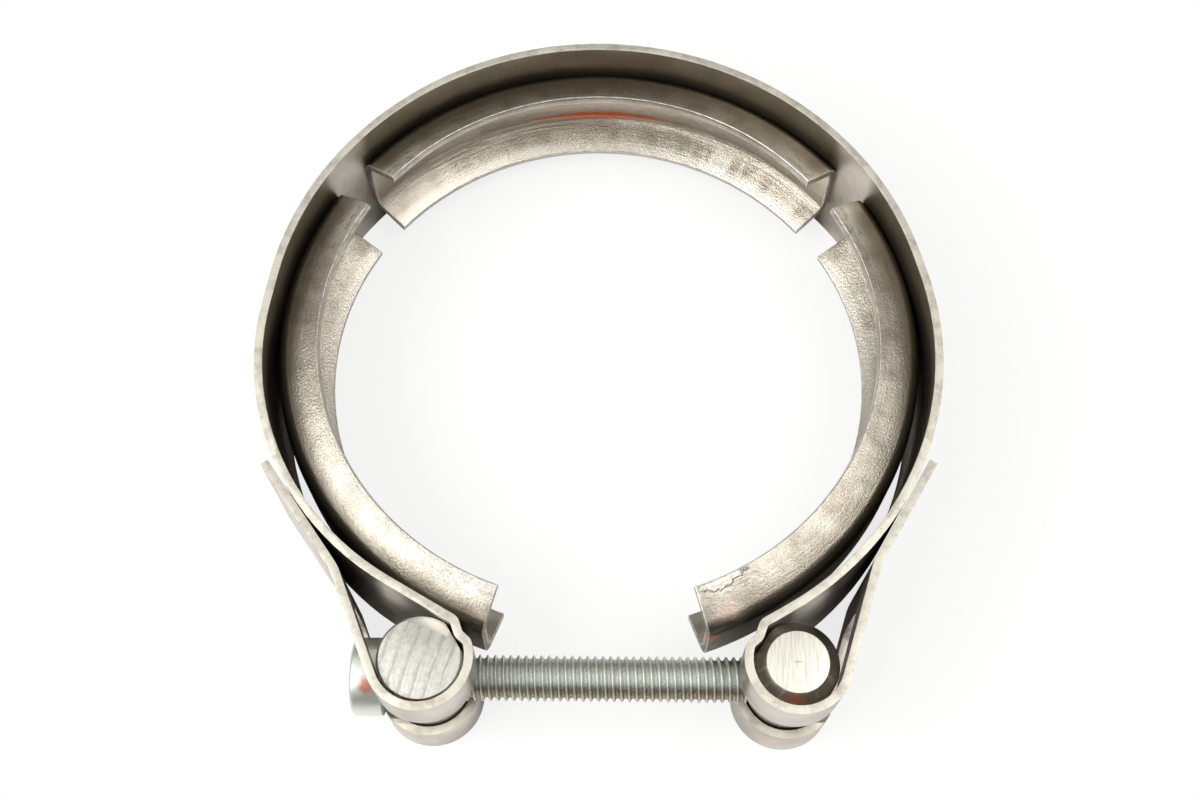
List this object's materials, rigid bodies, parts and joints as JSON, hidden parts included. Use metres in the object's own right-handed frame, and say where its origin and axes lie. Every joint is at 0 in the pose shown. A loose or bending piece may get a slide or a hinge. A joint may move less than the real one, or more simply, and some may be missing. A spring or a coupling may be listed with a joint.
{
  "type": "v band clamp",
  "caption": "Round V band clamp: a looped steel strap carrying V-section segments inside, closed by a bolt through a plain and a threaded trunnion.",
  "frame": {"origin": "centre of the ring, on its axis and halfway up the strap", "axes": "+Z along the ring's axis; X along the bolt, from its head (-X) to its tip (+X); the bolt is on the -Y side"},
  "size_m": [0.093, 0.0996, 0.022],
  "materials": {
    "strap_steel": "rolled stainless strip with pale sheared edges",
    "segment_steel": "formed stainless sheet, brown-grey and rubbed pale along its bends",
    "plain_trunnion_steel": "turned bar with coarse saw marks on its ends",
    "threaded_trunnion_steel": "turned bar with dark chamfers and a fine face",
    "bolt_zinc": "zinc plated, blue-grey with yellow-brown tints"
  },
  "bodies": {
    "band": {"band_strap": "strap_steel", "v_segment_top": "segment_steel", "v_segment_left": "segment_steel", "v_segment_right": "segment_steel"},
    "nut_trunnion": {"threaded_trunnion": "threaded_trunnion_steel"},
    "screw": {"clamp_bolt": "bolt_zinc"},
    "seat_trunnion": {"plain_trunnion": "plain_trunnion_steel"}
  },
  "joints": [
    {"name": "nut_swing", "type": "hinge", "parent": "band", "child": "nut_trunnion", "pos_m": [0.02515, -0.04695, 0], "axis": [0, 0, 1], "range_deg": [-0.2, 0.2]},
    {"name": "screw_turn", "type": "hinge", "parent": "nut_trunnion", "child": "screw", "pos_m": [0.02515, -0.04695, 0], "axis": [1, 0, 0], "continuous": true},
    {"name": "seat_swing", "type": "hinge", "parent": "band", "child": "seat_trunnion", "pos_m": [-0.02185, -0.04695, 0], "axis": [0, 0, 1], "range_deg": [-1.5, 1.5]}
  ]
}
